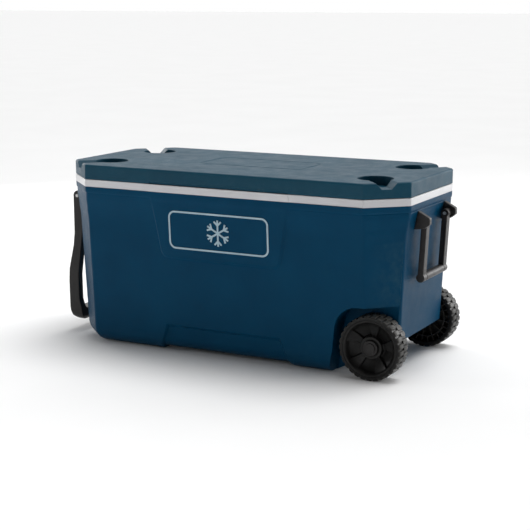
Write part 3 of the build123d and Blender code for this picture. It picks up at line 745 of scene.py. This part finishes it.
def spoke_share(heading, radius):
    """1 on a spoke and 0 in a pocket of the dish."""
    pitch = 2 * math.pi / SPOKE_COUNT
    away = abs((heading - SPOKE_TURN + pitch / 2) % pitch - pitch / 2) * radius
    half = 6.0 + 0.30 * (radius - 27.0)
    return 1.0 - smooth_step(away, half - 0.9, half + 1.3)


def wheel_form():
    """Points and faces of the moulded wheel about the origin, axis along Y, outer side up in Y."""
    turns = wheel_angles()
    points = []
    for turn in turns:
        heading = 2 * math.pi * (turn - LUG_SHARE / 2) / LUG_COUNT - math.pi / 2
        column = []
        for spoke, pocket in OUTER_SIDE:
            share = spoke_share(heading, (spoke[0] + pocket[0]) / 2)
            column.append((mix(pocket[0], spoke[0], share), mix(pocket[1], spoke[1], share)))
        for along, rise, row in TREAD:
            lug = lug_height(turn, row) * rise
            column.append((mix(TREAD_BASE, WHEEL_RADIUS, lug), along))
        column += INNER_SIDE
        for radius, along in column:
            points.append((radius * math.cos(heading), along, radius * math.sin(heading)))
    depth = len(OUTER_SIDE) + len(TREAD) + len(INNER_SIDE)
    faces = []
    for index in range(len(turns)):
        after = (index + 1) % len(turns)
        for level in range(depth):
            higher = (level + 1) % depth
            faces.append((index * depth + level, index * depth + higher,
                          after * depth + higher, after * depth + level))
    return points, faces


def add_bar(points, faces, heading, inner, outer, half_width, low, high):
    """Adds a thin radial rib."""
    start = len(points)
    across = (-math.sin(heading), math.cos(heading))
    for along in (low, high):
        taper = half_width if along == high else half_width * 0.7
        for radius, side in ((inner, -1), (outer, -1), (outer, 1), (inner, 1)):
            points.append((radius * math.cos(heading) + side * taper * across[0], along,
                           radius * math.sin(heading) + side * taper * across[1]))
    for quad in ((0, 1, 2, 3), (7, 6, 5, 4), (0, 4, 5, 1), (1, 5, 6, 2), (2, 6, 7, 3), (3, 7, 4, 0)):
        faces.append(tuple(start + index for index in quad))


def add_ring(points, faces, inner, outer, low, high, steps=96):
    """Adds a thin ring rib."""
    start = len(points)
    for index in range(steps):
        heading = 2 * math.pi * index / steps
        for radius, along in ((inner, low), (outer, low), (outer, high), (inner, high)):
            points.append((radius * math.cos(heading), along, radius * math.sin(heading)))
    for index in range(steps):
        after = (index + 1) % steps
        for corner in range(4):
            beside = (corner + 1) % 4
            faces.append((start + 4 * index + corner, start + 4 * index + beside,
                          start + 4 * after + beside, start + 4 * after + corner))


def wheel(node, side):
    """One wheel; side is -1 at the front and 1 at the back."""
    points, faces = wheel_form()
    for index in range(RIB_COUNT):
        heading = 2 * math.pi * (index + 0.5) / RIB_COUNT
        inner = RIB_HUB if index % 2 else RIB_RING - 1.0
        add_bar(points, faces, heading, inner, RIB_TIP, RIB_HALF, RIB_LOW, RIB_HIGH)
    add_ring(points, faces, RIB_RING - 1.2, RIB_RING + 1.2, RIB_LOW, RIB_HIGH + 0.5)
    low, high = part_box("axle")
    axle_x = ((low[0] + high[0]) / 2 - CENTRE.x) / MM
    axle_z = (low[2] + high[2]) / 2 / MM
    placed = [(x + axle_x, side * y, z + axle_z) for x, y, z in points]
    piece = mesh_object(node + "_piece", placed, faces)
    form = bmesh.new()
    form.from_mesh(piece.data)
    bmesh.ops.recalc_face_normals(form, faces=form.faces)
    for edge in form.edges:
        edge.smooth = edge.calc_face_angle(0.0) < math.radians(34)
    for face in form.faces:
        face.smooth = True
    form.to_mesh(piece.data)
    form.free()
    finish_piece(piece, node)


outer_shell()
wheel("wheel_front", -1)
wheel("wheel_rear", 1)


def stripe_steps():
    """The pale stripe is slightly deeper-set beyond its slanted middle steps, front and back."""
    outline = [(192, 400), (187, 424), (500, 424), (500, 400)]
    cutters = []
    for sign_x in (-1, 1):
        for low, high in ((-240, -216.4), (216.4, 240)):
            mirrored = [(sign_x * x, z) for x, z in outline]
            cutters.append(prism_object("stripe_step", mirrored, low, high, "Y"))
    return cutters


def rounded_rectangle(half_x, half_y, centre_y, radius, steps=6):
    """Outline of a rounded rectangle, anticlockwise."""
    outline = []
    for quadrant, (sx, sy) in enumerate(((1, 1), (-1, 1), (-1, -1), (1, -1))):
        for index in range(steps + 1):
            heading = math.pi / 2 * (quadrant + index / steps)
            outline.append((sx * (half_x - radius) + radius * math.cos(heading),
                            centre_y + sy * (half_y - radius) + radius * math.sin(heading)))
    return outline


GROOVE_HALF_X = 140.0
GROOVE_HALF_Y = 66.0
GROOVE_MIDDLE_Y = 8.0
GROOVE_RADIUS = 22.0


def lid_groove():
    """Ring-shaped form that cuts a shallow decorative groove in the middle of the lid."""
    loops = []
    for grow, z in ((4.0, 470.0), (2.6, 457.0), (0.0, 457.0), (-1.4, 470.0)):
        outline = rounded_rectangle(GROOVE_HALF_X + grow, GROOVE_HALF_Y + grow,
                                    GROOVE_MIDDLE_Y, GROOVE_RADIUS + grow)
        loops.append([(x, y, z) for x, y in outline])
    count = len(loops[0])
    points = [point for loop in loops for point in loop]
    faces = []
    for level in range(4):
        above = (level + 1) % 4
        for index in range(count):
            after = (index + 1) % count
            faces.append((level * count + index, level * count + after,
                          above * count + after, above * count + index))
    piece = mesh_object("lid_groove", points, faces)
    form = bmesh.new()
    form.from_mesh(piece.data)
    bmesh.ops.recalc_face_normals(form, faces=form.faces)
    form.to_mesh(piece.data)
    form.free()
    return piece


def lid_cuts():
    """Finger recess low in the middle of the lid's front, and the groove on its top."""
    finger = [(-190, 418), (-186, 427.5), (186, 427.5), (190, 418)]
    return [prism_object("finger_recess", finger, -240, -214.8, "Y"), lid_groove()]


CUTS = {"inner_liner": stripe_steps, "lid_shell": lid_cuts}
OWN_MESHES = ("outer_shell", "wheel_front", "wheel_rear")
SOFT_EDGES = {
    "inner_liner": 1.0,
    "lid_shell": 1.6,
    "lid_liner": 1.0,
    "badge": 0.5,
    "tow_handle": 2.6,
    "carry_handle": 1.8,
    "tow_brackets": 2.2,
    "carry_brackets": 2.2,
    "axle_caps": 0.8,
    "hinge_body_leaves": 0.6,
    "hinge_lid_leaves": 0.6,
    "drain_plug": 0.8,
    "carry_grip": 0.8,
}
for node, width in SOFT_EDGES.items():
    softened(node, width * MM, cutters=CUTS[node]() if node in CUTS else ())

for node, part in frame["nodes"].items():
    if node not in SOFT_EDGES and node not in OWN_MESHES:
        part.data.materials.clear()
        part.data.materials.append(material_of(node))


# ---------------------------------------------------------------- studio

def floor():
    """Pale floor under the cooler."""
    s = Shader("pale_floor")
    s.link(s.ramp(s.noise(2.0), [(0.3, (0.90, 0.90, 0.90)), (0.7, (0.92, 0.92, 0.92))]),
           s.surface.inputs["Base Color"])
    s.surface.inputs["Roughness"].default_value = 0.9
    form = bmesh.new()
    bmesh.ops.create_grid(form, x_segments=2, y_segments=2, size=60)
    mesh = bpy.data.meshes.new("floor")
    form.to_mesh(mesh)
    form.free()
    mesh.materials.append(s.material)
    piece = bpy.data.objects.new("floor", mesh)
    bpy.context.scene.collection.objects.link(piece)


def area_light(name, place, target, size, power):
    """Soft rectangular light."""
    data = bpy.data.lights.new(name, "AREA")
    data.shape = "RECTANGLE"
    data.size = size[0]
    data.size_y = size[1]
    data.energy = power
    lamp = bpy.data.objects.new(name, data)
    lamp.location = place
    lamp.rotation_euler = (Vector(target) - Vector(place)).to_track_quat("-Z", "Y").to_euler()
    bpy.context.scene.collection.objects.link(lamp)


def surroundings():
    """White backdrop behind the cooler fading to a dim room in front of it."""
    world = bpy.data.worlds.new("studio")
    world.use_nodes = True
    tree = world.node_tree
    place = tree.nodes.new("ShaderNodeTexCoord").outputs["Generated"]
    split = tree.nodes.new("ShaderNodeSeparateXYZ")
    tree.links.new(place, split.inputs[0])
    ramp = tree.nodes.new("ShaderNodeMapRange")
    ramp.interpolation_type = "SMOOTHSTEP"
    ramp.inputs["From Min"].default_value = -0.15
    ramp.inputs["From Max"].default_value = 0.45
    ramp.inputs["To Min"].default_value = 0.05
    ramp.inputs["To Max"].default_value = 1.0
    tree.links.new(split.outputs["Y"], ramp.inputs["Value"])
    tree.links.new(ramp.outputs["Result"], tree.nodes["Background"].inputs["Strength"])
    tree.nodes["Background"].inputs["Color"].default_value = (1.0, 1.0, 1.0, 1.0)
    bpy.context.scene.world = world


def studio():
    """Backdrop, soft light from above and soft boxes."""
    surroundings()
    data = bpy.data.lights.new("overhead", "SUN")
    data.energy = 1.9
    data.angle = math.radians(40)
    lamp = bpy.data.objects.new("overhead", data)
    lamp.rotation_euler = (math.radians(-12), math.radians(10), 0)
    bpy.context.scene.collection.objects.link(lamp)
    area_light("right_box", (1.9, 2.6, 0.9), (0.3, 0, 0.35), (1.6, 1.4), 29)
    area_light("left_box", (-2.6, 1.3, 0.9), (-0.4, 0, 0.35), (1.2, 1.4), 16)
    area_light("front_box", (0.35, -3.2, 0.9), (0.1, 0, 0.25), (0.3, 1.4), 9)
    area_light("raking_box", (-2.9, -1.4, 1.3), (0, -0.1, 0.3), (0.5, 1.0), 16)


def camera():
    """Camera a little above the lid, off the front corner at the wheel end."""
    data = bpy.data.cameras.new("camera")
    data.lens = CAMERA_LENS
    data.sensor_width = 36.0
    data.clip_end = 100.0
    eye = bpy.data.objects.new("camera", data)
    eye.location = CAMERA_PLACE + CENTRE
    eye.rotation_euler = (CAMERA_TARGET - CAMERA_PLACE).to_track_quat("-Z", "Y").to_euler()
    bpy.context.scene.collection.objects.link(eye)
    bpy.context.scene.camera = eye


bpy.context.scene.view_settings.view_transform = "Standard"
floor()
studio()
camera()
